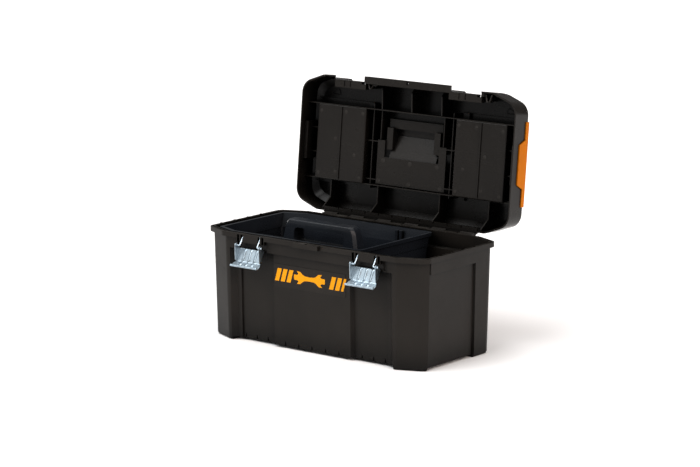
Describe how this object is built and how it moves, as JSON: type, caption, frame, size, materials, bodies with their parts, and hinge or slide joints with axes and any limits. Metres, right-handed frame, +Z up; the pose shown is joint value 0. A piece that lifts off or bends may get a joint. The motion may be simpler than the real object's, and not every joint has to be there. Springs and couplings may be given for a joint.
{
  "type": "toolbox with tray",
  "caption": "Long plastic toolbox with a hinged lid, lift-out tote tray, metal draw latches, a folding carry handle and small-parts organisers under covers in the lid.",
  "frame": {"origin": "on the floor, below the middle of the box's overall size with its lid open", "axes": "+X along the length to the right as seen from the latches, +Y towards the hinge, +Z up"},
  "size_m": [0.482, 0.3495, 0.4432],
  "materials": {
    "tub_plastic": "fine textured polypropylene",
    "lid_plastic": "fine textured polypropylene",
    "handle_plastic": "satin polypropylene",
    "tray_plastic": "satin slate-blue polypropylene",
    "cover_plastic": "satin amber plastic",
    "latch_sheet": "bright zinc plate on pressed steel",
    "latch_wire": "bright zinc plate on steel wire",
    "hinge_steel": "plain steel rod",
    "label_film": null
  },
  "bodies": {
    "tub": {"base_tub": "tub_plastic", "hinge_pin": "hinge_steel", "front_label": "label_film"},
    "lid": {"lid_shell": "lid_plastic", "handle_retainer": "lid_plastic"},
    "tray": {"tote_tray": "tray_plastic"},
    "handle": {"carry_handle": "handle_plastic"},
    "left_cover": {"left_organiser_cover": "cover_plastic"},
    "right_cover": {"right_organiser_cover": "cover_plastic"},
    "left_bail": {"left_latch_bail": "latch_wire"},
    "right_bail": {"right_latch_bail": "latch_wire"},
    "left_lever": {"left_latch_lever": "latch_sheet"},
    "right_lever": {"right_latch_lever": "latch_sheet"}
  },
  "joints": [
    {"name": "lid_hinge", "type": "hinge", "parent": "tub", "child": "lid", "pos_m": [0, 0.0948, 0.1884], "axis": [-1, 0, 0], "range_deg": [-95.66, 0]},
    {"name": "tray_lift", "type": "slide", "parent": "tub", "child": "tray", "axis": [0, 0, 1], "range_m": [0, 0.08]},
    {"name": "carry_handle_hinge", "type": "hinge", "parent": "lid", "child": "handle", "pos_m": [0, 0.15325, 0.33003], "axis": [-1, 0, 0], "range_deg": [0, 110]},
    {"name": "left_cover_hinge", "type": "hinge", "parent": "lid", "child": "left_cover", "pos_m": [-0.105, 0.15973, 0.31431], "axis": [0, -0.0986, -0.9951], "range_deg": [0, 95]},
    {"name": "left_bail_hinge", "type": "hinge", "parent": "tub", "child": "left_bail", "pos_m": [-0.127, -0.149, 0.19], "axis": [-1, 0, 0], "range_deg": [0, 44]},
    {"name": "left_lever_hinge", "type": "hinge", "parent": "left_bail", "child": "left_lever", "pos_m": [-0.127, -0.1595, 0.1745], "axis": [-1, 0, 0], "range_deg": [0, 174]},
    {"name": "right_cover_hinge", "type": "hinge", "parent": "lid", "child": "right_cover", "pos_m": [0.105, 0.15973, 0.31431], "axis": [0, 0.0986, 0.9951], "range_deg": [0, 95]},
    {"name": "right_bail_hinge", "type": "hinge", "parent": "tub", "child": "right_bail", "pos_m": [0.127, -0.149, 0.19], "axis": [-1, 0, 0], "range_deg": [0, 44]},
    {"name": "right_lever_hinge", "type": "hinge", "parent": "right_bail", "child": "right_lever", "pos_m": [0.127, -0.1595, 0.1745], "axis": [-1, 0, 0], "range_deg": [0, 174]}
  ]
}
